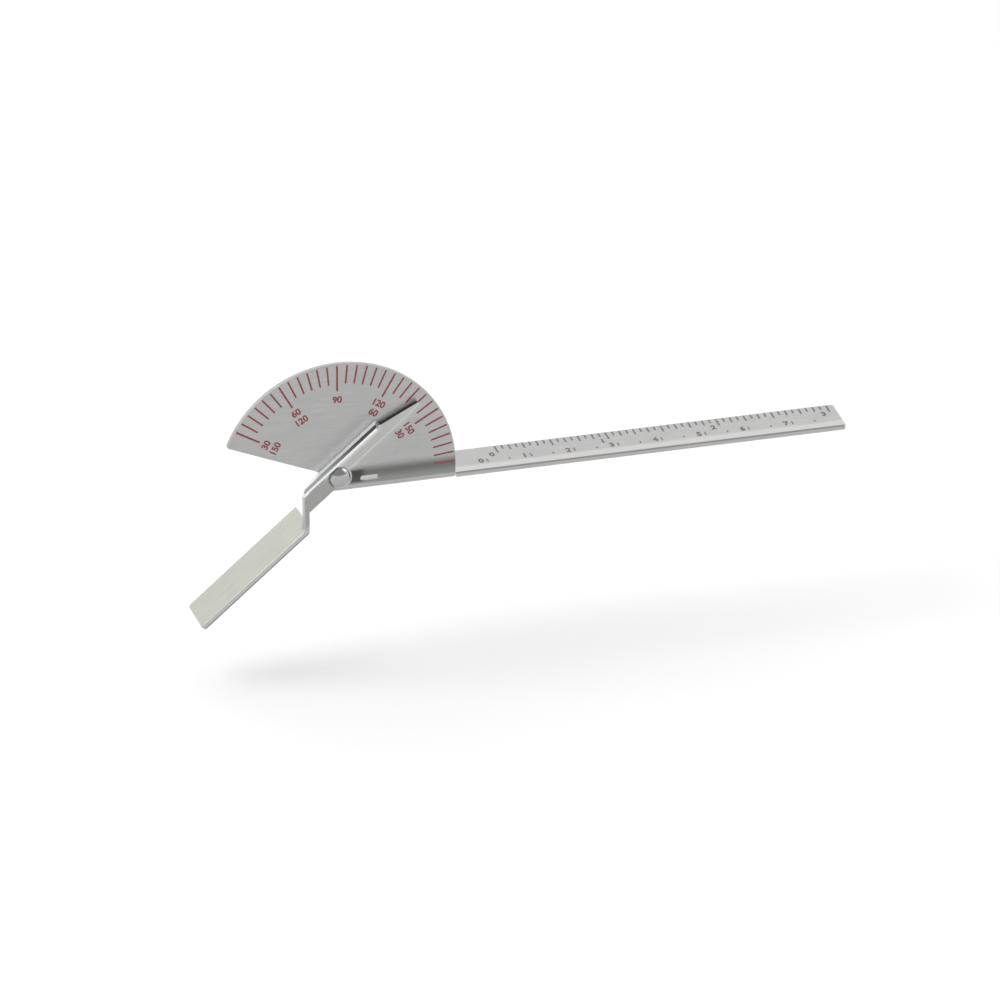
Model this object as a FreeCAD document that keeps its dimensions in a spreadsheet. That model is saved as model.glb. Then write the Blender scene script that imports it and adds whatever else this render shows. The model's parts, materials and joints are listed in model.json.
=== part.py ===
import FreeCAD, Part
import math
import os
import Sketcher

# Finger goniometer: a protractor plate folded into a ruler, and a finger arm
# with a pointer, joined by one rivet with its washers.
#
# Frame: +X along the ruler, away from the finger joint; +Y across the ruler,
# from the dial's front towards its back; +Z up, along the 90 degree mark.
# Origin: on the ruler's resting (lower) face, on its centre line, straight
# under the pivot axis. The pivot axis is parallel to Y.

doc = FreeCAD.newDocument("finger_goniometer")

# ---------------------------------------------------------------- dimensions
# alias, value in millimetres or degrees, meaning
SIZES = [
    ("sheet_gauge", 1.2, "thickness of both stampings"),
    ("bend_inside", 0.8, "inside radius of the ruler fold"),
    ("pivot_height", 4.55, "pivot axis above the resting face"),
    ("dial_radius", 27.0, "rim of the protractor"),
    ("dial_cut", 159.0, "angle of the dial's lower left edge"),
    ("dial_cut_drop", 0.6, "how far that edge's line passes below the pivot axis"),
    ("dial_notch", 1.4, "rounding where that edge meets the heel"),
    ("dial_tip", 0.5, "rounding where that edge meets the rim"),
    ("heel", 4.0, "how far the fold runs past the pivot axis"),
    ("heel_slant", 3.0, "how much shorter the heel is at the ruler's far edge"),
    ("ruler_length", 116.9, "pivot axis to the ruler's end"),
    ("ruler_width", 11.0, "ruler across, beyond the dial"),
    ("ruler_setback", 0.9, "dial front to the ruler's near edge"),
    ("relief_width", 0.35, "bend relief beside the dial"),
    ("ruler_corner", 0.9, "rounded corners of the ruler's end and the heel"),
    ("window_start", 5.2, "relief window, near end from the pivot axis"),
    ("window_end", 9.4, "relief window, far end from the pivot axis"),
    ("window_level", 1.55, "window centre below the pivot axis"),
    ("window_half", 0.6, "window half height"),
    ("bore_radius", 1.52, "hole for the rivet in the protractor"),
    ("arm_bore_radius", 1.56, "hole for the rivet in the finger arm"),
    ("edge_round", 0.2, "rounding of the sheet edges"),
    ("arm_gap", 0.3, "dial front to the back of the finger arm's web"),
    ("rest_flexion", 40.5, "flexion angle as shown"),
    ("foot_start", 12.6, "foot's inner end from the pivot axis"),
    ("foot_end", 45.0, "foot's outer end from the pivot axis"),
    ("foot_width", 11.4, "foot across"),
    ("flange_depth", 2.55, "depth of the top flange and the riser"),
    ("foot_corner", 0.8, "rounded corners of the foot"),
    ("riser_angle", 50.0, "slope of the riser"),
    ("riser_toe", 13.8, "foot of the riser from the pivot axis, upper side"),
    ("flange_top", 4.2, "top of the flange above the pivot axis"),
    ("flange_end", 14.6, "end of the flange from the pivot axis"),
    ("flange_taper", 0.9, "length over which the flange runs out"),
    ("web_inset", 1.1, "web's top corner from the riser's top corner"),
    ("pointer_root", 2.85, "pointer's back above the pivot axis, where it starts"),
    ("pointer_tip", 24.1, "tip of the pointer from the pivot axis"),
    ("tip_height", 0.6, "height of the tip above the reading edge"),
    ("reading_start", 1.2, "start of the reading edge from the pivot axis"),
    ("neck_level", 1.45, "lower edge of the neck below the pivot axis"),
    ("neck_overlap", 0.9, "how far the neck reaches back into the riser"),
    ("boss_radius", 2.95, "web around the pivot"),
    ("riser_bend", 1.5, "outside radius of the riser's bends"),
    ("riser_bend_inside", 0.6, "inside radius of the riser's bends"),
    ("flange_bend", 0.85, "outside radius of the fold between flange and web"),
    ("shank_radius", 1.5, "rivet shank"),
    ("head_radius", 2.45, "rivet head"),
    ("head_rim", 0.25, "straight rim of the rivet head"),
    ("head_height", 1.55, "rivet head, over all"),
    ("tail_radius", 2.3, "clinched tail"),
    ("tail_height", 0.8, "clinched tail, over all"),
    ("tail_dimple", 0.85, "radius of the dimple in the tail"),
    ("running_gap", 0.03, "gap between faces that slide"),
    ("seat_gap", 0.01, "gap behind the friction and backing washers"),
    ("spacer_radius", 2.8, "friction washer, outside"),
    ("washer_bore", 1.56, "washers, inside"),
    ("washer_radius", 2.9, "spring and backing washers, outside"),
    ("spring_gauge", 0.3, "spring washer, material"),
    ("spring_rise", 0.28, "spring washer, height of its cone"),
    ("backing_gauge", 0.5, "backing washer, thickness"),
    ("backing_round", 0.12, "rounding of the backing washer's rim"),
]

sheet = doc.addObject("Spreadsheet::Sheet", "Dimensions")
sheet.set("A1", "dimension")
sheet.set("B1", "value in millimetres or degrees")
sheet.set("C1", "meaning")
for row, (alias, value, meaning) in enumerate(SIZES, start=2):
    sheet.set("A%d" % row, alias)
    sheet.set("B%d" % row, str(value))
    sheet.setAlias("B%d" % row, alias)
    sheet.set("C%d" % row, meaning)
doc.recompute()


class Size:
    """A number together with the expression that gives it from the sheet."""

    def __init__(self, value, text):
        self.value = float(value)
        self.text = text

    @staticmethod
    def of(other):
        return other if isinstance(other, Size) else Size(other, repr(float(other)))

    def __add__(self, other):
        other = Size.of(other)
        return Size(self.value + other.value, "(%s + %s)" % (self.text, other.text))

    def __sub__(self, other):
        other = Size.of(other)
        return Size(self.value - other.value, "(%s - %s)" % (self.text, other.text))

    def __mul__(self, other):
        other = Size.of(other)
        return Size(self.value * other.value, "(%s * %s)" % (self.text, other.text))

    def __rmul__(self, other):
        return Size.of(other) * self

    def __truediv__(self, other):
        other = Size.of(other)
        return Size(self.value / other.value, "(%s / %s)" % (self.text, other.text))

    def __neg__(self):
        return Size(-self.value, "(-1 * %s)" % self.text)


def cosine(size):
    return Size(math.cos(math.radians(size.value)), "cos(%s)" % size.text)


def sine(size):
    return Size(math.sin(math.radians(size.value)), "sin(%s)" % size.text)


def dim(alias):
    return Size(float(sheet.get(alias)), "Dimensions." + alias)


# ------------------------------------------------------------ shared places
X_DIR = FreeCAD.Vector(1, 0, 0)
Y_DIR = FreeCAD.Vector(0, 1, 0)
Z_DIR = FreeCAD.Vector(0, 0, 1)

gauge = dim("sheet_gauge")
edge_round = dim("edge_round")
pivot_z = dim("pivot_height")
dial_front = -(dim("ruler_setback") + dim("ruler_width") / 2)

# along the pivot axis, measured from the dial's front face
web_back = -dim("arm_gap")
web_front = web_back - gauge
spring_from = gauge
spring_to = spring_from + dim("spring_gauge") + dim("spring_rise")
backing_to = spring_to + dim("backing_gauge")

# where the pivot axis meets the dial's front face
pivot_point = FreeCAD.Vector(0, dial_front.value, pivot_z.value)
at_pivot = FreeCAD.Placement(pivot_point, FreeCAD.Rotation())


# ----------------------------------------------------------- sketch helpers
# In a sketch's geometry, point 1 is a start, 2 an end and 3 a centre.
def new_body(name):
    body = doc.addObject("PartDesign::Body", name)
    body.Label = name
    return body


def new_sketch(body, name, role, lift):
    """A sketch parallel to one origin plane, lifted along that plane's normal."""
    plane = [f for f in body.Origin.OriginFeatures if f.Role == role][0]
    lift = Size.of(lift)
    sketch = body.newObject("Sketcher::SketchObject", name)
    sketch.AttachmentSupport = [(plane, "")]
    sketch.MapMode = "FlatFace"
    sketch.AttachmentOffset = FreeCAD.Placement(
        FreeCAD.Vector(0, 0, lift.value), FreeCAD.Rotation()
    )
    sketch.setExpression("AttachmentOffset.Base.z", lift.text)
    return sketch


def upright_sketch(body, name, y):
    """A sketch across the pivot axis at the given y; its own normal is -Y."""
    return new_sketch(body, name, "XZ_Plane", -y)


def vector(point):
    x, y = point
    return FreeCAD.Vector(Size.of(x).value, Size.of(y).value, 0)


def add_line(sketch, start, end):
    return sketch.addGeometry(Part.LineSegment(vector(start), vector(end)), False)


def add_arc(sketch, centre, radius, from_angle, to_angle):
    """A counterclockwise arc; angles in degrees."""
    circle = Part.Circle(vector(centre), Z_DIR, radius.value)
    arc = Part.ArcOfCircle(circle, math.radians(from_angle), math.radians(to_angle))
    return sketch.addGeometry(arc, False)


def drive(sketch, size, kind, *where):
    """Add a constraint whose value comes from the sheet."""
    size = Size.of(size)
    index = sketch.addConstraint(Sketcher.Constraint(kind, *where, size.value))
    sketch.setExpression("Constraints[%d]" % index, size.text)


def pin_x(sketch, piece, point, x):
    drive(sketch, x, "DistanceX", -1, 1, piece, point)


def pin(sketch, piece, point, place):
    """Hold one point of a sketch at a place given by the sheet."""
    x, y = place
    pin_x(sketch, piece, point, x)
    drive(sketch, y, "DistanceY", -1, 1, piece, point)


def join_loop(sketch, pieces, kind="Coincident"):
    """Join each piece's end to the start of the next, all the way round."""
    for piece, following in zip(pieces, pieces[1:] + pieces[:1]):
        sketch.addConstraint(Sketcher.Constraint(kind, piece, 2, following, 1))


def outline(sketch, points):
    """A closed outline of straight lines through the points given."""
    sides = [add_line(sketch, *ends) for ends in zip(points, points[1:] + points[:1])]
    join_loop(sketch, sides)
    for side, point in zip(sides, points):
        pin(sketch, side, 1, point)


def disc(sketch, centre, radius):
    circle = sketch.addGeometry(Part.Circle(vector(centre), Z_DIR, radius.value), False)
    pin(sketch, circle, 3, centre)
    drive(sketch, radius, "Radius", circle)


# ---------------------------------------------------------- feature helpers
def set_size(feature, name, size):
    setattr(feature, name, size.value)
    feature.setExpression(name, size.text)


def from_sketch(body, kind, sketch, name):
    feature = body.newObject("PartDesign::" + kind, name)
    feature.Profile = sketch
    sketch.Visibility = False
    return feature


def pad(body, sketch, name, length, flip=False):
    """Pad along the sketch's normal, or against it if flipped."""
    feature = from_sketch(body, "Pad", sketch, name)
    set_size(feature, "Length", length)
    feature.Reversed = flip
    doc.recompute()


def pocket(body, sketch, name, length, flip=False):
    """Cut against the sketch's normal, or along it if flipped."""
    before = body.Shape.Volume
    feature = from_sketch(body, "Pocket", sketch, name)
    set_size(feature, "Length", length)
    feature.Reversed = flip
    doc.recompute()
    if not body.Shape.Volume < before - 1e-6:
        raise RuntimeError("%s removes nothing" % name)


def bore(body, sketch_name, name, face_y, height, radius, overshoot):
    """A round hole through the sheet whose front face lies at face_y."""
    sketch = upright_sketch(body, sketch_name, face_y - overshoot)
    disc(sketch, (0.0, height), radius)
    pocket(body, sketch, name, gauge + 2 * overshoot)


def revolve(body, sketch, name):
    """Turn a profile about the pivot axis."""
    feature = from_sketch(body, "Revolution", sketch, name)
    feature.ReferenceAxis = (sketch, ["V_Axis"])
    feature.Angle = 360.0
    doc.recompute()


def fillet(body, name, radius, chosen):
    """Round the edges of the body's present tip that the test picks."""
    base = body.Tip
    names = ["Edge%d" % i for i, e in enumerate(base.Shape.Edges, start=1) if chosen(e)]
    if not names:
        raise RuntimeError("%s finds no edges" % name)
    feature = body.newObject("PartDesign::Fillet", name)
    feature.Base = (base, names)
    set_size(feature, "Radius", radius)
    doc.recompute()


# ----------------------------------------------------------- edge selectors
def near(value, size):
    return abs(value - size.value) < 1e-3


def middle(edge):
    first, last = edge.ParameterRange
    return edge.valueAt((first + last) / 2)


def straight(edge, direction):
    if edge.Curve.TypeId != "Part::GeomLine":
        return False
    return abs(abs(edge.Curve.Direction.dot(direction)) - 1) < 1e-6


def straight_at(direction, **place):
    """Test for straight edges along a direction whose middle lies at the place."""
    return lambda edge: straight(edge, direction) and all(
        near(getattr(middle(edge), axis), size) for axis, size in place.items()
    )


def circle_of(radius):
    return lambda edge: (
        edge.Curve.TypeId == "Part::GeomCircle" and near(edge.Curve.Radius, radius)
    )


# ============================================================ protractor arm
heel = dim("heel")
dial_radius = dim("dial_radius")
dial_back = dial_front + gauge
bend_out = dim("bend_inside") + gauge
fold_y = dial_front + bend_out
ruler_near = dial_front + dim("ruler_setback")
ruler_far = ruler_near + dim("ruler_width")
ruler_end = dim("ruler_length")
heel_far_x = dim("heel_slant") - heel
window_z = pivot_z - dim("window_level")

# the dial's lower left edge runs from the rim to the knee above the heel
rim_x = dial_radius * cosine(dim("dial_cut"))
rim_z = pivot_z + dial_radius * sine(dim("dial_cut"))
cross_z = pivot_z - dim("dial_cut_drop")
knee_z = cross_z + (rim_z - cross_z) * heel / (-rim_x)


def add_dial(body):
    """Rim, lower left edge, heel, and a right edge from the 0 degree mark to the fold."""
    sketch = upright_sketch(body, "DialOutline", dial_front)
    right_foot = (dial_radius, bend_out)
    zero_mark = (dial_radius, pivot_z)
    rim_end = (rim_x, rim_z)
    knee = (-heel, knee_z)
    heel_foot = (-heel, bend_out)

    right = add_line(sketch, right_foot, zero_mark)
    rim = add_arc(sketch, (0.0, pivot_z), dial_radius, 0.0, dim("dial_cut").value)
    cut_edge = add_line(sketch, rim_end, knee)
    heel_edge = add_line(sketch, knee, heel_foot)
    foot_edge = add_line(sketch, heel_foot, right_foot)
    join_loop(sketch, [right, rim, cut_edge, heel_edge, foot_edge])
    pin(sketch, rim, 3, (0.0, pivot_z))
    pin(sketch, right, 1, right_foot)
    pin(sketch, right, 2, zero_mark)
    pin(sketch, cut_edge, 2, knee)
    pin(sketch, heel_edge, 2, heel_foot)
    # the rim's arc already sets the height of this point
    pin_x(sketch, cut_edge, 1, rim_x)
    pad(body, sketch, "DialPlate", gauge, flip=True)


def add_fold(body):
    """A quarter turn of sheet from the dial down into the ruler."""
    sketch = new_sketch(body, "FoldProfile", "YZ_Plane", -heel)
    centre = (fold_y, bend_out)
    low_out, low_in = (fold_y, 0.0), (fold_y, gauge)
    side_in, side_out = (dial_back, bend_out), (dial_front, bend_out)

    outside = add_arc(sketch, centre, bend_out, 180, 270)
    inside = add_arc(sketch, centre, dim("bend_inside"), 180, 270)
    low = add_line(sketch, low_out, low_in)
    side = add_line(sketch, side_in, side_out)
    joints = [(outside, 2, low, 1), (low, 2, inside, 2), (inside, 1, side, 1), (side, 2, outside, 1)]
    for joint in joints:
        sketch.addConstraint(Sketcher.Constraint("Coincident", *joint))
    pin(sketch, low, 1, low_out)
    pin(sketch, low, 2, low_in)
    pin(sketch, side, 1, side_in)
    pin(sketch, side, 2, side_out)
    for arc in (outside, inside):
        pin_x(sketch, arc, 3, fold_y)
    pad(body, sketch, "Fold", heel + dial_radius)


def add_ruler(body):
    """The flat ruler, at full width beyond the bend relief."""
    sketch = new_sketch(body, "RulerOutline", "XY_Plane", 0.0)
    relief_end = dial_radius + dim("relief_width")
    outline(
        sketch,
        [
            (-heel, fold_y),
            (relief_end, fold_y),
            (relief_end, ruler_near),
            (ruler_end, ruler_near),
            (ruler_end, ruler_far),
            (heel_far_x, ruler_far),
        ],
    )
    pad(body, sketch, "RulerPlate", gauge)


def cut_window(body):
    """A small oblong window above the fold, beside the rivet."""
    overshoot = 1.0
    sketch = upright_sketch(body, "WindowOutline", dial_front - overshoot)
    radius = dim("window_half")
    start = dim("window_start") + radius
    end = dim("window_end") - radius
    bottom, ceiling = window_z - radius, window_z + radius

    left = add_arc(sketch, (start, window_z), radius, 90, 270)
    right = add_arc(sketch, (end, window_z), radius, -90, 90)
    low = add_line(sketch, (start, bottom), (end, bottom))
    top = add_line(sketch, (end, ceiling), (start, ceiling))
    join_loop(sketch, [left, low, right, top], "Tangent")
    sketch.addConstraint(Sketcher.Constraint("Equal", left, right))
    pin(sketch, left, 3, (start, window_z))
    pin_x(sketch, right, 3, end)
    sketch.addConstraint(Sketcher.Constraint("Horizontal", low))
    drive(sketch, radius, "Radius", left)
    pocket(body, sketch, "ReliefWindow", gauge + overshoot)


def beside_window(x):
    """Whether x lies in the stretch of the dial that holds the window."""
    return 5.0 < x < 10.0


def sheet_edge(edge):
    """Edges of the dial's outline, the ruler's long edges and its ends."""
    m = middle(edge)
    on_dial = (near(m.y, dial_front) or near(m.y, dial_back)) and m.z > bend_out.value + 1e-3
    by_bore = abs(m.x) < 3.0 and abs(m.z - pivot_z.value) < 3.0
    by_window = beside_window(m.x) and m.z < 5.0
    on_ruler = abs(m.z) < 1e-3 or near(m.z, gauge)
    outer = (
        near(m.y, ruler_near)
        or near(m.y, ruler_far)
        or m.x > ruler_end.value - 2.0
        or (m.x < 0.0 and m.y > fold_y.value + 1.0)
    )
    return (on_dial and not by_bore and not by_window) or (on_ruler and outer)


def window_edge(edge):
    """Edges of the window's outline, on both faces of the dial."""
    m = middle(edge)
    return (
        beside_window(m.x)
        and abs(m.z - window_z.value) < 1.0
        and m.y < dial_back.value + 1e-3
        and edge.Length > 0.5
        and not straight(edge, Y_DIR)
    )


def make_protractor_arm():
    body = new_body("protractor_arm")
    add_dial(body)
    add_fold(body)
    add_ruler(body)
    bore(body, "RivetHole", "RivetBore", dial_front, pivot_z, dim("bore_radius"), overshoot=1.0)
    cut_window(body)

    corner = dim("ruler_corner")
    fillet(body, "RulerCorners", corner, straight_at(Z_DIR, x=ruler_end))
    fillet(body, "HeelCorner", corner, straight_at(Z_DIR, x=heel_far_x, y=ruler_far))
    fillet(body, "DialKnee", dim("dial_notch"), straight_at(Y_DIR, x=-heel, z=knee_z))
    fillet(body, "DialTip", dim("dial_tip"), straight_at(Y_DIR, x=rim_x, z=rim_z))
    fillet(body, "SheetEdges", edge_round, sheet_edge)
    fillet(body, "BoreEdges", 0.5 * edge_round, circle_of(dim("bore_radius")))
    fillet(body, "WindowEdges", 0.5 * edge_round, window_edge)
    return body


# ================================================================ finger arm
# modelled straight, with the pivot axis at the body's own origin and the dial's
# front face at y = 0: foot towards -X, pointer towards +X
strip_front = web_back - dim("flange_depth")
foot_end = dim("foot_end")
foot_low = -pivot_z
foot_top = -(pivot_z - gauge)
flange_top = dim("flange_top")
flange_under = flange_top - gauge
flange_end = dim("flange_end")
neck_z = -dim("neck_level")
bend_inside = dim("riser_bend_inside")

# the riser's corners: its toe on the foot and its crest under the flange
riser_angle = dim("riser_angle")
run_per_rise = cosine(riser_angle) / sine(riser_angle)
riser_across = gauge / sine(riser_angle)
toe_upper = -dim("riser_toe")
toe_lower = toe_upper + riser_across - gauge * run_per_rise
crest_upper = toe_upper + (flange_top - foot_top) * run_per_rise
crest_lower = toe_upper + riser_across + (flange_under - foot_top) * run_per_rise


def add_foot(body):
    sketch = new_sketch(body, "FootOutline", "XY_Plane", foot_low)
    strip_x = -dim("riser_toe") - 0.5 * bend_inside
    foot_far = strip_front + dim("foot_width")
    outline(
        sketch,
        [
            (-foot_end, strip_front),
            (strip_x, strip_front),
            (strip_x, web_back),
            (-dim("foot_start"), web_back),
            (-dim("foot_start"), foot_far),
            (-foot_end, foot_far),
        ],
    )
    pad(body, sketch, "FootPlate", gauge)


def add_strip(body):
    """Riser and top flange: one narrow strip bent twice."""
    sketch = upright_sketch(body, "StripProfile", strip_front)
    outline(
        sketch,
        [
            (toe_upper - bend_inside, foot_low),
            (toe_lower, foot_low),
            (crest_lower, flange_under),
            (flange_end, flange_under),
            (flange_end, flange_top),
            (crest_upper, flange_top),
            # the bend at the toe, as three short flats
            (
                toe_upper + bend_inside * cosine(riser_angle),
                foot_top + bend_inside * sine(riser_angle),
            ),
            (toe_upper + 0.12 * bend_inside, foot_top + 0.34 * bend_inside),
            (toe_upper - 0.30 * bend_inside, foot_top + 0.09 * bend_inside),
            (toe_upper - bend_inside, foot_top),
        ],
    )
    pad(body, sketch, "RiserAndFlange", dim("flange_depth"), flip=True)


def add_web(body):
    """Hangs from the flange, carries the pivot and runs out as the pointer.

    Its lower edge past the pivot lies on the pivot's own radius: the reading edge.
    """
    sketch = upright_sketch(body, "WebOutline", web_front)
    riser_at_neck = toe_upper + riser_across + (neck_z - foot_top) * run_per_rise
    outline(
        sketch,
        [
            (riser_at_neck - dim("neck_overlap"), neck_z),
            (0.0, neck_z),
            (dim("reading_start"), 0.0),
            (dim("pointer_tip"), 0.0),
            (dim("pointer_tip"), dim("tip_height")),
            (flange_end, dim("pointer_root")),
            (flange_end, flange_top),
            (crest_upper + dim("web_inset"), flange_top),
        ],
    )
    pad(body, sketch, "WebPlate", gauge, flip=True)

    sketch = upright_sketch(body, "BossOutline", web_front)
    disc(sketch, (0.0, 0.0), dim("boss_radius"))
    pad(body, sketch, "PivotBoss", gauge, flip=True)


def cut_flange_taper(body):
    """The flange runs out slantwise before the pointer."""
    margin = 1.0
    below = 0.5
    sketch = new_sketch(body, "FlangeRunOut", "XY_Plane", flange_under - below)
    taper_start = flange_end - dim("flange_taper")
    outline(
        sketch,
        [
            (taper_start, strip_front),
            (flange_end, web_front),
            (flange_end + margin, web_front),
            (flange_end + margin, strip_front - margin),
            (taper_start, strip_front - margin),
        ],
    )
    pocket(body, sketch, "FlangeTaper", gauge + (below + margin), flip=True)


def strip_edge(edge):
    """Long edges of the strip's front side and of the foot's outline."""
    m = middle(edge)
    front_side = near(m.y, strip_front) and edge.Length > gauge.value + 0.1
    on_foot = near(m.z, foot_top) or near(m.z, foot_low)
    return front_side or (on_foot and (m.y > 0.0 or m.x < -20.0))


def web_edge(edge):
    """Edges of the neck, the boss and the pointer's sloping back."""
    m = middle(edge)
    if not (near(m.y, web_front) or near(m.y, web_back)):
        return False
    neck_edge = near(m.z, neck_z) and edge.Length > 8.0
    boss_edge = m.z < -2.5 and abs(m.x) < 3.0
    back_edge = m.x > 15.0 and m.z > 0.5
    return neck_edge or boss_edge or back_edge


def make_finger_arm():
    body = new_body("finger_arm")
    add_foot(body)
    add_strip(body)
    add_web(body)
    bore(body, "ArmHole", "ArmBore", web_front, 0.0, dim("arm_bore_radius"), overshoot=2.0)
    cut_flange_taper(body)

    toe_edge = straight_at(Y_DIR, x=toe_lower, z=foot_low)
    crest_edge = straight_at(Y_DIR, x=crest_upper, z=flange_top)
    shoulder_edge = straight_at(Y_DIR, x=crest_lower, z=flange_under)
    fold_edge = straight_at(X_DIR, y=web_back, z=flange_top)
    fillet(body, "FootCorners", dim("foot_corner"), straight_at(Z_DIR, x=-foot_end))
    fillet(
        body,
        "RiserBendsOutside",
        dim("riser_bend"),
        lambda edge: toe_edge(edge) or crest_edge(edge),
    )
    fillet(body, "FlangeFold", dim("flange_bend"), fold_edge)
    fillet(body, "ShoulderBend", bend_inside, shoulder_edge)
    fillet(body, "StripEdges", edge_round, strip_edge)
    fillet(body, "WebEdges", 0.75 * edge_round, web_edge)

    # turn the arm about the pivot axis to the flexion shown
    flexion = FreeCAD.Rotation(-Y_DIR, dim("rest_flexion").value)
    body.Placement = FreeCAD.Placement(pivot_point, flexion)
    return body


# ========================================================= rivet and washers
# turned profiles: distance from the pivot axis along sketch x, along the axis y
def make_rivet():
    """Domed head in front of the arm, dimpled tail behind the backing washer."""
    body = new_body("pivot_rivet")
    sketch = new_sketch(body, "RivetProfile", "XY_Plane", 0.0)
    head_radius, head_rim = dim("head_radius"), dim("head_rim")
    head_under = web_front - dim("running_gap")
    shank = dim("shank_radius")
    tail, tail_height = dim("tail_radius"), dim("tail_height")
    dimple = dim("tail_dimple")
    crown = (0.0, head_under - dim("head_height"))
    profile = [
        (head_radius, head_under - head_rim),
        (head_radius, head_under),
        (shank, head_under),
        (shank, backing_to),
        (tail, backing_to),
        (tail, backing_to + 0.35 * tail_height),
        (0.86 * tail, backing_to + 0.8 * tail_height),
        (0.62 * tail, backing_to + tail_height),
        (dimple, backing_to + 0.92 * tail_height),
        (0.5 * dimple, backing_to + 0.55 * tail_height),
        (0.0, backing_to + 0.45 * tail_height),
        crown,
    ]
    # the head's face is a spherical cap centred on the axis
    cap = dim("head_height") - head_rim
    ball = (head_radius * head_radius + cap * cap) / (2.0 * cap)
    half_angle = math.degrees(math.asin(head_radius.value / ball.value))
    dome = add_arc(sketch, (0.0, crown[1] + ball), ball, -90, half_angle - 90)
    sides = [add_line(sketch, *ends) for ends in zip(profile, profile[1:])]
    join_loop(sketch, [dome] + sides)
    for side, point in zip(sides, profile):
        pin(sketch, side, 1, point)
    pin(sketch, sides[-1], 2, crown)
    # -2 is the sketch's vertical axis
    sketch.addConstraint(Sketcher.Constraint("PointOnObject", dome, 3, -2))
    revolve(body, sketch, "RivetTurned")
    body.Placement = at_pivot
    return body


def make_washer(name, feature_stem, section):
    body = new_body(name)
    sketch = new_sketch(body, feature_stem + "Profile", "XY_Plane", 0.0)
    outline(sketch, section)
    revolve(body, sketch, feature_stem + "Turned")
    body.Placement = at_pivot
    return body


def make_washers():
    """Friction washer in front of the dial, spring and backing washers behind it."""
    inside, outside = dim("washer_bore"), dim("washer_radius")
    spacer_outside = dim("spacer_radius")
    spacer_front = web_back + dim("running_gap")
    spacer_back = -dim("seat_gap")
    backing_back = backing_to - dim("seat_gap")
    friction = make_washer(
        "friction_washer",
        "Spacer",
        [
            (inside, spacer_front),
            (spacer_outside, spacer_front),
            (spacer_outside, spacer_back),
            (inside, spacer_back),
        ],
    )
    spring = make_washer(
        "spring_washer",
        "Spring",
        [
            (inside, spring_from),
            (outside, spring_from + dim("spring_rise")),
            (outside, spring_to),
            (inside, spring_from + dim("spring_gauge")),
        ],
    )
    backing = make_washer(
        "backing_washer",
        "Backing",
        [
            (inside, spring_to),
            (outside, spring_to),
            (outside, backing_back),
            (inside, backing_back),
        ],
    )
    fillet(backing, "BackingEdges", dim("backing_round"), circle_of(outside))
    return [friction, spring, backing]


# ------------------------------------------------- build, check and write out
pieces = [make_protractor_arm(), make_finger_arm(), make_rivet()] + make_washers()

doc.recompute()
bad = [o.Name for o in doc.Objects if "Invalid" in o.State or "Error" in o.State]
if bad:
    raise RuntimeError("objects that did not recompute: %s" % ", ".join(bad))

os.makedirs("parts", exist_ok=True)
for piece in pieces:
    shape = piece.Shape
    if shape.isNull() or not shape.isValid() or shape.Volume <= 0:
        raise RuntimeError("%s has no valid shape" % piece.Label)
    shape.exportStep(os.path.join("parts", piece.Label + ".step"))
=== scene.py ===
"""A finger goniometer: a folded steel protractor with a riveted finger arm.

The dial stands upright in the XZ plane with its printed front face towards -Y.
The ruler folds out of the dial's foot: it lies flat, reaches towards +X and is
read from above. The finger arm turns about the rivet, in front of the dial.
Dial angles run from +X up towards +Z.
"""

import json
import math
from types import SimpleNamespace

import bmesh
import bpy
from mathutils import Matrix, Quaternion, Vector


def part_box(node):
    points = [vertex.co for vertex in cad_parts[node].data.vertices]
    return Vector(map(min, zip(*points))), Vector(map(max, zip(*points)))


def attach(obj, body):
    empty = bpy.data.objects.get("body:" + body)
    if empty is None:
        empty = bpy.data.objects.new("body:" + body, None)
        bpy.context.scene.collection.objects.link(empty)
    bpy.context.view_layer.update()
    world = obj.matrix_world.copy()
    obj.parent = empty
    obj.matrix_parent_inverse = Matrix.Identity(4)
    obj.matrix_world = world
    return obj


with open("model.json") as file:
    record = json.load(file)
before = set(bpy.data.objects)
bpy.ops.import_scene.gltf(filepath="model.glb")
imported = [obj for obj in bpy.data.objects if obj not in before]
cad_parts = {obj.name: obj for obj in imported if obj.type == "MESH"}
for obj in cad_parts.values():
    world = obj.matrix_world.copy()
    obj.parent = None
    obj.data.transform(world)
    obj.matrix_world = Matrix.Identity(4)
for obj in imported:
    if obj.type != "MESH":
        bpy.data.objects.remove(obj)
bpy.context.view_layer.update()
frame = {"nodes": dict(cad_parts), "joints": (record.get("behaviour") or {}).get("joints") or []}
scene = bpy.context.scene

# ----------------------------------------------------------- driving dimensions
MM = 0.001
SHEET = 1.2 * MM                                # thickness of the ruler's sheet
ARM_ANGLE = math.radians(40.5)                  # the finger arm's lean from +X

pivot = Vector(frame["joints"][0]["pos_m"])     # on the dial's front face
protractor_low, protractor_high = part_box("protractor_arm")
dial_radius = protractor_high.z - pivot.z
ruler_top = protractor_low.z + SHEET
ruler_far = protractor_high.y                   # the ruler's far edge

X_AXIS, Z_AXIS = Vector((1, 0, 0)), Vector((0, 0, 1))
FRONT = (0, -1, 0)
arm_axis = Vector((math.cos(ARM_ANGLE), 0, math.sin(ARM_ANGLE)))
arm_up = Vector((-math.sin(ARM_ANGLE), 0, math.cos(ARM_ANGLE)))


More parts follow.
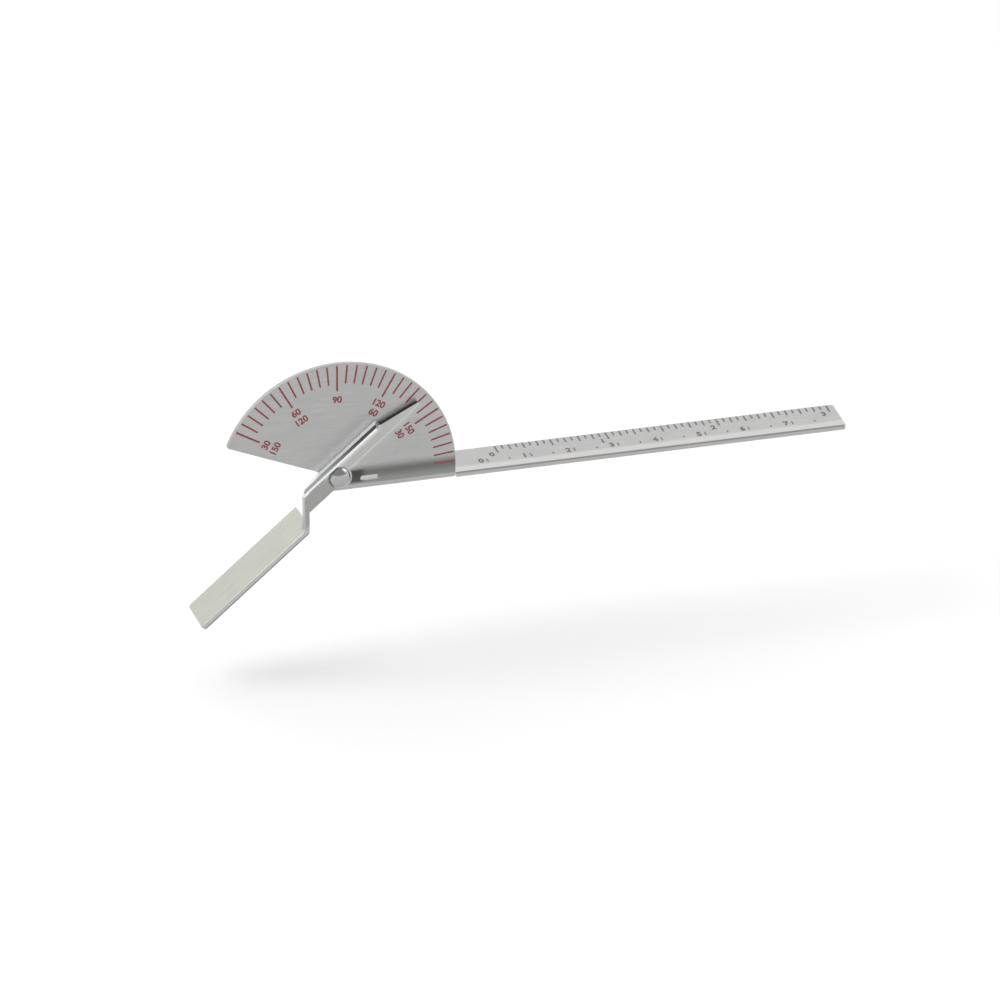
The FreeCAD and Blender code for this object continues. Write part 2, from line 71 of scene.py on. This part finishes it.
# ------------------------------------------------------------------- node tools
class NodeNet:
    """Builds the node tree of a material or world.

    A value may be a number, a colour, a vector or another node's output.
    """

    def __init__(self, owner):
        owner.use_nodes = True
        self.owner = owner
        self.tree = owner.node_tree
        self.tree.nodes.clear()

    def add(self, kind, inputs=None, **settings):
        """Add a node; inputs maps socket names or indices to values."""
        node = self.tree.nodes.new(kind)
        for key, value in settings.items():
            setattr(node, key, value)
        for key, value in (inputs or {}).items():
            if isinstance(value, bpy.types.NodeSocket):
                self.tree.links.new(value, node.inputs[key])
            else:
                node.inputs[key].default_value = value
        return node

    def math(self, operation, *values):
        """Apply a two-value operation from left to right."""
        result = values[0]
        for value in values[1:]:
            node = self.add("ShaderNodeMath", {0: result, 1: value}, operation=operation)
            result = node.outputs[0]
        return result

    def times(self, *values):
        return self.math("MULTIPLY", *values)

    def plus(self, *values):
        return self.math("ADD", *values)

    def invert(self, value):
        return self.math("SUBTRACT", 1.0, value)

    def dot(self, first, second):
        node = self.add("ShaderNodeVectorMath", {0: first, 1: second},
                        operation="DOT_PRODUCT")
        return node.outputs["Value"]

    def ramp(self, value, over, to=(0.0, 1.0)):
        """Smooth step between the to values while value runs over the span."""
        node = self.add("ShaderNodeMapRange", {
            "Value": value,
            "From Min": over[0], "From Max": over[1],
            "To Min": to[0], "To Max": to[1],
        }, interpolation_type="SMOOTHSTEP", clamp=True)
        return node.outputs["Result"]

    def band(self, value, between, soft):
        """1 between two values, fading to 0 over soft on both sides."""
        low, high = between
        return self.times(self.ramp(value, over=(low - soft, low)),
                          self.ramp(value, over=(high, high + soft), to=(1.0, 0.0)))

    def mix(self, factor, first, second, blend="MIX"):
        node = self.add("ShaderNodeMix", {"Factor": factor, "A": first, "B": second},
                        data_type="RGBA", blend_type=blend)
        return node.outputs["Result"]

    def paint(self, base, mask, strength, colour):
        """Lay a colour over the base where the mask is 1."""
        return self.mix(self.times(mask, strength), base, colour)

    def noise(self, vector, detail, rough, scale=1.0, stretch=None):
        if stretch:
            vector = self.add("ShaderNodeMapping",
                              {"Vector": vector, "Scale": stretch}).outputs[0]
        node = self.add("ShaderNodeTexNoise", {
            "Vector": vector, "Scale": scale, "Detail": detail, "Roughness": rough})
        return node.outputs["Fac"]

    def bump(self, height, strength, depth):
        return self.add("ShaderNodeBump", {
            "Strength": strength, "Distance": depth, "Height": height}).outputs[0]

    def place_mm(self):
        """Object coordinates in millimetres from the pivot."""
        place = self.add("ShaderNodeTexCoord").outputs["Object"]
        moved = self.add("ShaderNodeVectorMath", {0: place, 1: tuple(pivot)},
                         operation="SUBTRACT").outputs[0]
        return self.add("ShaderNodeVectorMath", {0: moved, "Scale": 1 / MM},
                        operation="SCALE").outputs[0]

    def principled(self, inputs):
        """End the tree in a principled surface and return the material."""
        shader = self.add("ShaderNodeBsdfPrincipled", inputs)
        self.add("ShaderNodeOutputMaterial", {0: shader.outputs[0]})
        return self.owner


def new_material(name):
    return NodeNet(bpy.data.materials.new(name))


def grey(level, tint=(1.0, 1.0, 1.0)):
    return (level * tint[0], level * tint[1], level * tint[2], 1.0)


# ------------------------------------------------------------------------ steel
def steel(name, along_axis, up_axis, level, rough, tint=(1.0, 1.0, 0.985), grain=1.0,
          edge=0.30 * MM, aniso=0.45, nook_shade=0.22, gap=0.9 * MM, lift=0.0, shade=None):
    """Satin steel brushed along one axis, with polished edges under a painted highlight, and
    faint smears.

    level is the metal's brightness and grain the strength of the brushing. edge
    is the width of the polish. Nooks within gap of a neighbour get painted shade,
    as strong as grime, and painted light, as strong as lift. shade(net, base, at)
    paints light and shade on chosen places and returns the colour and the
    metallic value.
    """
    net = new_material(name)
    place = net.place_mm()
    along = net.dot(place, along_axis)
    up = net.dot(place, up_axis)
    across = net.add("ShaderNodeSeparateXYZ", {0: place}).outputs[1]
    local = net.add("ShaderNodeCombineXYZ", {0: along, 1: across, 2: up}).outputs[0]

    coarse = net.noise(local, stretch=(0.10, 4.5, 4.5), detail=5.0, rough=0.62)
    fine = net.noise(local, stretch=(0.32, 14.0, 14.0), detail=3.0, rough=0.6)
    cloud = net.noise(local, scale=0.11, detail=3.0, rough=0.5)
    smear = net.noise(local, stretch=(0.25, 0.5, 0.5), detail=6.0, rough=0.7)
    speck = net.noise(local, scale=2.6, detail=2.0, rough=0.5)
    coarse_share, fine_share = 0.6, 0.4
    streak = net.plus(net.times(coarse, coarse_share), net.times(fine, fine_share))

    # polished edges with a painted highlight: where the bevelled normal leaves the face's own
    # normal
    bevel = net.add("ShaderNodeBevel", {"Radius": edge}, samples=6)
    geometry = net.add("ShaderNodeNewGeometry")
    same = net.dot(bevel.outputs[0], geometry.outputs["Normal"])
    edge_polish_and_highlight = net.times(net.ramp(same, over=(0.995, 0.86)),
                     net.ramp(smear, over=(0.30, 0.62), to=(0.55, 1.0)))
    # nooks: corners and gaps between neighbouring sheets, where shade and light are painted
    occlusion = net.add("ShaderNodeAmbientOcclusion", {"Distance": gap}, samples=8)
    nook = net.ramp(occlusion.outputs["AO"], over=(0.35, 0.95), to=(1.0, 0.0))

    # colour: brushed streaks, then clouds, specks, a painted highlight on the polished edges,
    # and painted shade and painted light in the nooks
    base = net.mix(net.ramp(streak, over=(0.30, 0.70)),
                   grey(level * 0.86, tint), grey(level * 1.10, tint))
    base = net.mix(net.ramp(cloud, over=(0.35, 0.7), to=(0.0, 0.22)), base,
                   grey(level * 0.80, tint=(0.97, 1.0, 0.98)))
    base = net.mix(net.ramp(speck, over=(0.68, 0.78), to=(0.0, 0.30)), base,
                   grey(level * 0.55))
    # painted highlight on the polished edges
    base = net.paint(base, edge_polish_and_highlight, strength=0.75, colour=grey(0.86))
    # painted shade, then painted light, in the nooks
    base = net.paint(base, nook, strength=nook_shade,
                     colour=grey(level * 0.35, tint=(1.0, 0.93, 0.84)))
    base = net.paint(base, nook, strength=lift, colour=grey(0.95))

    # roughness: streaks, smears and nooks are duller, polished edges are smoother
    streak_rough, nook_rough, edge_rough = 0.16 * grain, 0.15, 0.16
    face_rough = net.plus(rough - 0.07 * grain,
                          net.times(streak, streak_rough),
                          net.ramp(smear, over=(0.45, 0.75), to=(0.0, 0.09)),
                          net.times(nook, nook_rough))
    roughness = net.add("ShaderNodeMix", {
        "Factor": edge_polish_and_highlight, "A": face_rough, "B": edge_rough,
    }, data_type="FLOAT").outputs["Result"]

    metal = 1.0
    if shade:
        normal = net.add("ShaderNodeTexCoord").outputs["Normal"]
        at = SimpleNamespace(along=along, across=across, up=up, normal=normal)
        base, metal = shade(net, base, at)

    speck_height = 0.15
    relief = net.plus(streak, net.times(speck, speck_height))
    tangent = net.add("ShaderNodeCombineXYZ", dict(enumerate(along_axis)))
    return net.principled({
        "Base Color": base,
        "Roughness": roughness,
        "Metallic": metal,
        "Anisotropic": aniso,
        "Tangent": tangent.outputs[0],
        "Normal": net.bump(relief, strength=0.22 * grain, depth=0.02 * MM),
    })


# In both shades at.along, at.across (+Y) and at.up are in mm from the pivot.
def faces_front(net, at):
    return net.ramp(net.dot(at.normal, FRONT), over=(0.7, 0.98))


def shade_protractor(net, base, at):
    """Painted shade and light: a dark band of painted shade along the foot of the dial
    with a painted highlight line beneath it, and painted light on the near side of
    the ruler with a fine painted dark line along its corner."""
    near_sheet = net.ramp(at.across, over=(3.2, 1.4))
    on_dial = net.ramp(at.along, over=(27.2, 27.0))
    on_ruler = net.invert(on_dial)

    # painted light: the dial's front face, slightly brighter
    front = net.times(faces_front(net, at), on_dial)
    base = net.paint(base, front, strength=0.07, colour=grey(0.80))
    # painted shade: the dark band, weaker towards its lower side
    low = net.times(net.ramp(at.up, over=(2.3, -0.2)),
                    net.ramp(at.up, over=(-2.6, -2.95), to=(1.0, 0.0)),
                    net.ramp(at.up, over=(-0.2, -2.5), to=(1.0, 0.58)))
    foot = net.times(near_sheet, low, on_dial)
    base = net.paint(base, foot, strength=0.84,
                     colour=grey(0.115, tint=(0.99, 1.0, 0.90)))
    # painted shadow: a dark patch beside the pivot
    by_pivot = net.times(net.band(at.along, between=(2.6, 5.0), soft=2.0),
                         net.band(at.up, between=(-2.0, 0.3), soft=0.7),
                         net.ramp(at.across, over=(0.9, 0.3)))
    base = net.paint(base, by_pivot, strength=0.75, colour=grey(0.04))
    # painted highlight: the light line under the band
    light = net.times(near_sheet, on_dial,
                      net.band(at.up, between=(-3.7, -3.2), soft=0.25))
    base = net.paint(base, light, strength=0.30,
                     colour=grey(0.55, tint=(1.0, 0.98, 0.94)))
    # painted light on the near part of the ruler's top
    near_top = net.times(on_ruler,
                         net.band(at.across, between=(1.4, 2.9), soft=1.3),
                         net.ramp(at.up, over=(-3.5, -3.38)))
    base = net.paint(base, near_top, strength=0.45, colour=grey(0.60))
    # painted highlight on the ruler's near edge
    near_edge = net.times(on_ruler, net.ramp(at.across, over=(0.98, 0.92)))
    base = net.paint(base, near_edge, strength=0.5,
                     colour=grey(0.50, tint=(1.0, 0.96, 0.92)))
    # painted dark reflection: the fine line along the corner between them
    corner = net.times(on_ruler,
                       net.band(at.across, between=(0.8, 1.12), soft=0.12),
                       net.band(at.up, between=(-3.62, -3.3), soft=0.12))
    base = net.paint(base, corner, strength=0.6,
                     colour=grey(0.20, tint=(1.0, 0.97, 0.94)))
    return base, 1.0


def shade_arm(net, base, at):
    """Painted highlights on the bend and cut edges along the flange with a painted dark
    line between them, painted shadow on the pointer's back, and a painted highlight
    on the upper edge along the foot."""
    facing_up = net.dot(at.normal, arm_up)
    on_flange = net.times(net.ramp(at.along, over=(-11.6, -11.0)),
                          net.ramp(at.up, over=(2.9, 3.0)))
    before_pointer = net.ramp(at.along, over=(14.9, 14.5))

    # the front face: a little painted light, then painted shade darker towards the neck
    front = faces_front(net, at)
    base = net.paint(base, front, strength=0.05, colour=grey(0.80))
    neck = net.times(front, net.ramp(at.along, over=(3.0, -3.0)))
    base = net.paint(base, neck, strength=0.30, colour=grey(0.02))
    # painted light on the front face just under the flange
    under_flange = net.times(net.ramp(at.up, over=(1.4, 2.7)),
                             net.band(at.along, between=(-1.0, 12.5), soft=3.0),
                             front,
                             net.ramp(at.across, over=(-1.9, -1.7)))
    base = net.paint(base, under_flange, strength=0.50, colour=grey(0.95))
    # a faint warm tint on top of the foot
    foot_top = net.times(net.ramp(facing_up, over=(0.7, 0.95)),
                         net.ramp(at.up, over=(-2.9, -3.2)))
    base = net.mix(foot_top, base, (0.975, 0.98, 0.895, 1), blend="MULTIPLY")

    # painted highlights: the flange's top and bend, its front lip and the foot's lip
    bend = net.times(net.ramp(at.up, over=(3.2, 3.45)),
                     net.ramp(at.across, over=(-1.6, -1.3)))
    top = net.times(on_flange, before_pointer,
                    net.math("MAXIMUM", net.ramp(facing_up, over=(0.35, 0.75)), bend))
    lip = net.times(net.ramp(at.across, over=(-2.74, -2.84)), on_flange)
    foot_lip = net.times(net.ramp(at.across, over=(-2.70, -2.82)),
                         net.ramp(at.up, over=(-4.22, -4.10)),
                         net.ramp(at.up, over=(-3.0, -3.2), to=(0.0, 0.25)))
    painted_highlight = net.math("MAXIMUM", top, net.math("MAXIMUM", lip, foot_lip))
    base = net.paint(base, painted_highlight, strength=0.95,
                     colour=grey(0.96, tint=(0.97, 0.985, 1.0)))

    # painted dark reflection along the line between bend and lip, deeper outwards, and
    # painted shadow on the pointer's back
    line = net.times(net.band(at.up, between=(3.72, 4.3), soft=0.14),
                     net.band(at.across, between=(-2.95, -2.42), soft=0.16),
                     on_flange, before_pointer,
                     net.ramp(at.along, over=(-4.0, 10.0), to=(0.62, 0.97)))
    pointer_back = net.times(net.ramp(at.along, over=(14.4, 14.9)),
                             net.ramp(facing_up, over=(0.30, 0.70)))
    back_strength = 0.92
    dark = net.math("MAXIMUM", line, net.times(pointer_back, back_strength))
    base = net.mix(dark, base, grey(0.022, tint=(1.15, 0.95, 0.98)))
    # painted shade on the lower half of the foot's front edge
    foot_low = net.times(net.ramp(at.across, over=(-2.70, -2.82)),
                         net.ramp(at.up, over=(-4.18, -4.3)))
    base = net.paint(base, foot_low, strength=0.75,
                     colour=grey(0.16, tint=(0.95, 0.97, 1.1)))

    metal_lost = 0.85       # how far the bright parts stop being metallic
    return base, net.invert(net.times(painted_highlight, metal_lost))


# ---------------------------------------------------------------- nylon and ink
def nylon(name):
    """Off-white nylon with a finely pitted surface."""
    net = new_material(name)
    place = net.place_mm()
    flow = net.noise(place, scale=1.4, detail=4.0, rough=0.6)
    pit = net.noise(place, scale=7.0, detail=3.0, rough=0.6)
    return net.principled({
        "Base Color": net.mix(flow, (0.70, 0.68, 0.60, 1), (0.82, 0.81, 0.76, 1)),
        "Roughness": net.ramp(pit, over=(0.3, 0.7), to=(0.42, 0.58)),
        "Subsurface Weight": 0.12,
        "Subsurface Radius": (0.5 * MM, 0.4 * MM, 0.3 * MM),
        "Normal": net.bump(pit, strength=0.25, depth=0.02 * MM),
    })


def ink(name, colour, worn_colour, wear):
    """Ink with a slightly broken surface that shows steel through."""
    net = new_material(name)
    place = net.place_mm()
    blot = net.noise(place, scale=1.1, detail=4.0, rough=0.65)
    grain = net.noise(place, scale=9.0, detail=3.0, rough=0.7)
    thin = net.times(net.ramp(grain, over=(0.50, 0.72)),
                     net.ramp(blot, over=(0.35, 0.70), to=(0.25, 1.0)))
    blot_gain = 1.35        # how much brighter the blots are
    thin_metal = 0.5        # metallic value where the ink is thin
    base = net.mix(net.ramp(blot, over=(0.3, 0.7)), (*colour, 1),
                   grey(blot_gain, tint=colour))
    base = net.paint(base, thin, strength=wear, colour=(*worn_colour, 1))
    return net.principled({
        "Base Color": base,
        "Roughness": net.ramp(grain, over=(0.3, 0.7), to=(0.38, 0.62)),
        "Metallic": net.times(thin, thin_metal),
        "Normal": net.bump(grain, strength=0.3, depth=0.01 * MM),
    })


# -------------------------------------------------------- materials on the parts
# the dial's nooks get painted light and no painted shade; the other steels keep painted shade in
# theirs
satin_steel = steel("satin_steel", X_AXIS, Z_AXIS, level=0.41, rough=0.40, nook_shade=0.0,
                    gap=3.0 * MM, lift=0.9, shade=shade_protractor)
bright_steel = steel("bright_steel", arm_axis, arm_up, level=0.46, rough=0.33,
                     tint=(1.0, 1.0, 0.97), shade=shade_arm)
rivet_steel = steel("rivet_steel", X_AXIS, Z_AXIS, level=0.42, rough=0.12, grain=0.5,
                    edge=0.2 * MM, aniso=0.1)
washer_steel = steel("washer_steel", X_AXIS, Z_AXIS, level=0.55, rough=0.30,
                     grain=0.7, edge=0.12 * MM, aniso=0.2)
washer_nylon = nylon("washer_nylon")

PART_MATERIALS = {
    "protractor_arm": satin_steel,
    "finger_arm": bright_steel,
    "pivot_rivet": rivet_steel,
    "spring_washer": washer_steel,
    "backing_washer": washer_steel,
    "friction_washer": washer_nylon,
}
for part, material in PART_MATERIALS.items():
    slots = frame["nodes"][part].data.materials
    slots.clear()
    slots.append(material)

ink_red = ink("scale_ink_red", colour=(0.195, 0.036, 0.036),
              worn_colour=(0.42, 0.34, 0.33), wear=0.55)
ink_dark = ink("scale_ink_dark", colour=(0.10, 0.055, 0.06),
               worn_colour=(0.42, 0.40, 0.40), wear=0.6)
etch_grey = ink("scale_etch_grey", colour=(0.10, 0.104, 0.108),
                worn_colour=(0.40, 0.40, 0.39), wear=0.6)


# ------------------------------------------------------------------ scale marks
SINK = 0.012 * MM      # how far a mark's lower face lies inside the metal
PROUD = 0.014 * MM     # how far its upper face stands above the metal


class Marks:
    """Thin closed prints gathered into one mesh."""

    def __init__(self):
        self.shape = bmesh.new()

    def stroke(self, place, length, width, steps):
        """A bar along local y from 0 to length, with rounded ends."""
        radius = width / 2
        outline = []
        for start, centre in ((0, length - radius), (math.pi, radius)):
            for k in range(steps + 1):
                angle = start + math.pi * k / steps
                outline.append((radius * math.cos(angle),
                                centre + radius * math.sin(angle)))
        low, high = ([self.shape.verts.new(place @ Vector((x, y, z)))
                      for x, y in outline] for z in (-SINK, PROUD))
        self.shape.faces.new(list(reversed(low)))
        self.shape.faces.new(high)
        for i in range(len(outline)):
            j = (i + 1) % len(outline)
            self.shape.faces.new((low[i], low[j], high[j], high[i]))

    def text(self, body, place, size, bold, squeeze=1.0):
        """Centred text; bold is the outline's growth as a share of the size."""
        curve = bpy.data.curves.new("glyphs", "FONT")
        curve.body = body
        curve.size = size
        curve.align_x = "CENTER"
        curve.align_y = "CENTER"
        curve.extrude = (SINK + PROUD) / 2
        curve.offset = size * bold
        curve.resolution_u = 6
        glyphs = bpy.data.objects.new("glyphs", curve)
        scene.collection.objects.link(glyphs)
        bpy.context.view_layer.update()
        mesh = bpy.data.meshes.new_from_object(
            glyphs.evaluated_get(bpy.context.evaluated_depsgraph_get()))
        lift = Matrix.Translation((0, 0, (PROUD - SINK) / 2))
        mesh.transform(place @ lift @ Matrix.Diagonal((squeeze, 1, 1, 1)))
        # close the seams between the caps and the sides
        closed = bmesh.new()
        closed.from_mesh(mesh)
        bmesh.ops.remove_doubles(closed, verts=closed.verts, dist=1e-7)
        bmesh.ops.recalc_face_normals(closed, faces=closed.faces)
        closed.to_mesh(mesh)
        closed.free()
        self.shape.from_mesh(mesh)
        bpy.data.objects.remove(glyphs)
        bpy.data.curves.remove(curve)
        bpy.data.meshes.remove(mesh)

    def finish(self, name, material):
        mesh = bpy.data.meshes.new(name)
        self.shape.to_mesh(mesh)
        self.shape.free()
        mesh.materials.append(material)
        marks = bpy.data.objects.new(name, mesh)
        scene.collection.objects.link(marks)
        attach(marks, "protractor")


def placement(right, up, origin):
    """Local x along right, y along up, z out of the surface."""
    matrix = Matrix((right, up, right.cross(up).normalized())).transposed().to_4x4()
    matrix.translation = origin
    return matrix


def dial_place(degrees, radius):
    """A place on the dial's front, with local y pointing outwards."""
    angle = math.radians(degrees)
    outwards = Vector((math.cos(angle), 0, math.sin(angle)))
    right = Vector((math.sin(angle), 0, -math.cos(angle)))
    return placement(right, outwards, pivot + outwards * radius)


def ruler_place(x, y):
    """A place on the ruler's top, measured from the pivot."""
    return placement(X_AXIS, Vector((0, 1, 0)),
                     Vector((pivot.x + x, pivot.y + y, ruler_top)))


# ------------------------------------------------------------------- dial scale
TICK_START, LONG_TICK_START = 22.1 * MM, 20.4 * MM      # radii
TICK_WIDTH, WIDE_TICK_WIDTH = 0.42 * MM, 0.46 * MM
TICK_END = dial_radius - 0.32 * MM
OUTER_NUMERALS, INNER_NUMERALS = 18.75 * MM, 16.35 * MM
TOP_NUMERAL = 18.3 * MM
DIAL_TEXT = dict(size=2.15 * MM, bold=0.040)


def dial_degree_marks():
    """A tick every 5 degrees, longer every 30 except at 0."""
    marks = Marks()
    for degrees in range(0, 155, 5):
        major = degrees % 30 == 0
        start = LONG_TICK_START if major and degrees else TICK_START
        marks.stroke(dial_place(degrees, start), TICK_END - start,
                     WIDE_TICK_WIDTH if major else TICK_WIDTH, steps=5)
    marks.finish("dial_degree_marks", ink_red)


def dial_degree_numerals():
    """Two rows counting in opposite directions, sharing the 90."""
    marks = Marks()
    marks.text("90", dial_place(90, TOP_NUMERAL), **DIAL_TEXT)
    for degrees in (30, 60, 120, 150):
        marks.text(str(180 - degrees), dial_place(degrees, OUTER_NUMERALS), **DIAL_TEXT)
        marks.text(str(degrees), dial_place(degrees, INNER_NUMERALS), **DIAL_TEXT)
    marks.finish("dial_degree_numerals", ink_red)


dial_degree_marks()
dial_degree_numerals()

# ----------------------------------------------------------------- ruler scales
INCH, CENTIMETRE = 25.4 * MM, 10.0 * MM
INCH_ZERO, CM_ZERO = 39.0 * MM, 35.7 * MM               # x of the zero marks
INCH_MARK_END = ruler_far - pivot.y - 0.30 * MM         # y of the far ends
CM_MARK_START = 4.3 * MM                                # y of the near ends
INCH_MARK_WIDTH, CM_MARK_WIDTH = 0.48 * MM, 0.36 * MM
CM_MARK, HALF_CM_MARK = 1.7 * MM, 1.0 * MM              # lengths
# (every so many sixteenths, mark length in mm), longest first
INCH_MARKS = ((16, 3.5), (8, 3.1), (4, 2.8), (2, 2.5), (1, 1.9))
# (count, x of the zero, pitch, y) of each row; numerals stand left of their marks
NUMERAL_ROWS = (
    (4, INCH_ZERO - 1.6 * MM, INCH, 7.5 * MM),
    (8, CM_ZERO - 1.45 * MM, CENTIMETRE, 5.1 * MM),
)
RULER_TEXT = dict(size=2.6 * MM, bold=0.05, squeeze=0.85)


def ruler_inch_marks():
    """Sixteenths over three inches, along the far edge."""
    marks = Marks()
    for k in range(3 * 16 + 1):
        length = next(size for step, size in INCH_MARKS if k % step == 0) * MM
        marks.stroke(ruler_place(INCH_ZERO + INCH * k / 16, INCH_MARK_END - length),
                     length, INCH_MARK_WIDTH, steps=3)
    marks.finish("ruler_inch_marks", etch_grey)


def ruler_centimetre_marks():
    """Whole and half centimetres."""
    marks = Marks()
    for k in range(16):
        marks.stroke(ruler_place(CM_ZERO + CENTIMETRE * k / 2, CM_MARK_START),
                     HALF_CM_MARK if k % 2 else CM_MARK, CM_MARK_WIDTH, steps=3)
    marks.finish("ruler_centimetre_marks", etch_grey)


def ruler_numerals():
    marks = Marks()
    for count, zero, pitch, y in NUMERAL_ROWS:
        for k in range(count):
            marks.text(str(k), ruler_place(zero + pitch * k, y), **RULER_TEXT)
    marks.finish("ruler_numerals", ink_dark)


ruler_inch_marks()
ruler_centimetre_marks()
ruler_numerals()

# ------------------------------------------------------------------------ stage
FLOOR_DROP = 47.0 * MM      # from the pivot down to the floor
FLOOR_HALF = 20.0           # half the floor's side, in metres


def floor():
    shape = bmesh.new()
    bmesh.ops.create_grid(shape, x_segments=8, y_segments=8, size=FLOOR_HALF)
    mesh = bpy.data.meshes.new("floor")
    shape.to_mesh(mesh)
    shape.free()
    plane = bpy.data.objects.new("floor", mesh)
    plane.location = (0, 0.6, pivot.z - FLOOR_DROP)
    scene.collection.objects.link(plane)

    net = new_material("floor_pale")
    place = net.add("ShaderNodeTexCoord").outputs["Object"]
    soft = net.noise(place, scale=3.0, detail=3.0, rough=0.5)
    mesh.materials.append(net.principled({
        "Base Color": net.mix(soft, (0.86, 0.86, 0.86, 1), (0.89, 0.89, 0.885, 1)),
        "Roughness": 0.75,
        "Specular IOR Level": 0.2,
    }))


def softbox(name, place, size, power):
    """A rectangular light aimed at the middle of the goniometer."""
    light = bpy.data.lights.new(name, "AREA")
    light.shape = "RECTANGLE"
    light.size, light.size_y = size
    light.energy = power
    lamp = bpy.data.objects.new(name, light)
    lamp.location = place
    lamp.rotation_mode = "QUATERNION"
    aim = Vector((0.03, 0.0, 0.0))
    lamp.rotation_quaternion = (aim - Vector(place)).to_track_quat("-Z", "Y")
    scene.collection.objects.link(lamp)


def studio_world():
    """White all round, but grey above on the front (-Y) side."""
    scene.world = bpy.data.worlds.new("studio")
    net = NodeNet(scene.world)
    direction = net.add("ShaderNodeTexCoord").outputs["Generated"]
    axes = net.add("ShaderNodeSeparateXYZ", {0: direction}).outputs
    behind = net.ramp(axes[1], over=(-0.45, 0.45))
    above = net.ramp(axes[2], over=(0.05, 0.45))
    dark = net.times(net.invert(behind), above)
    background = net.add("ShaderNodeBackground", {
        "Color": net.mix(dark, (1.0, 1.0, 1.0, 1), (0.36, 0.36, 0.37, 1)),
        "Strength": 1.34,
    })
    net.add("ShaderNodeOutputWorld", {0: background.outputs[0]})


floor()
softbox("softbox_left", place=(-0.75, 0.10, 0.85), size=(0.6, 0.8), power=3.9)
softbox("softbox_right", place=(0.95, -0.15, 0.75), size=(0.5, 0.7), power=1.75)
studio_world()

# ----------------------------------------------------------------------- camera
AZIMUTH = math.radians(-15.4)       # from -Y, towards -X
ELEVATION = math.radians(25.6)
ROLL = math.radians(-0.2)
DISTANCE = 9.0                      # from the pivot, in metres
LENS = 1469.34                      # focal length, in mm
SHIFT_RIGHT = 35.81036 * MM         # from the pivot to the centre of the view
SHIFT_DOWN = 5.51268 * MM


def camera():
    back = Vector((math.sin(AZIMUTH) * math.cos(ELEVATION),
                   -math.cos(AZIMUTH) * math.cos(ELEVATION), math.sin(ELEVATION)))
    turn = (-back).to_track_quat("-Z", "Y") @ Quaternion((0, 0, 1), ROLL)
    right, up = turn @ Vector((1, 0, 0)), turn @ Vector((0, 1, 0))
    optics = bpy.data.cameras.new("camera")
    optics.sensor_width = 36.0
    optics.lens = LENS
    optics.clip_start, optics.clip_end = 0.1, 60.0
    holder = bpy.data.objects.new("camera", optics)
    holder.rotation_mode = "QUATERNION"
    holder.rotation_quaternion = turn
    holder.location = pivot + back * DISTANCE + right * SHIFT_RIGHT - up * SHIFT_DOWN
    scene.collection.objects.link(holder)
    scene.camera = holder


camera()
scene.view_settings.view_transform = "Standard"
scene.view_settings.look = "None"
scene.view_settings.exposure = 0.0

bpy.context.view_layer.update()
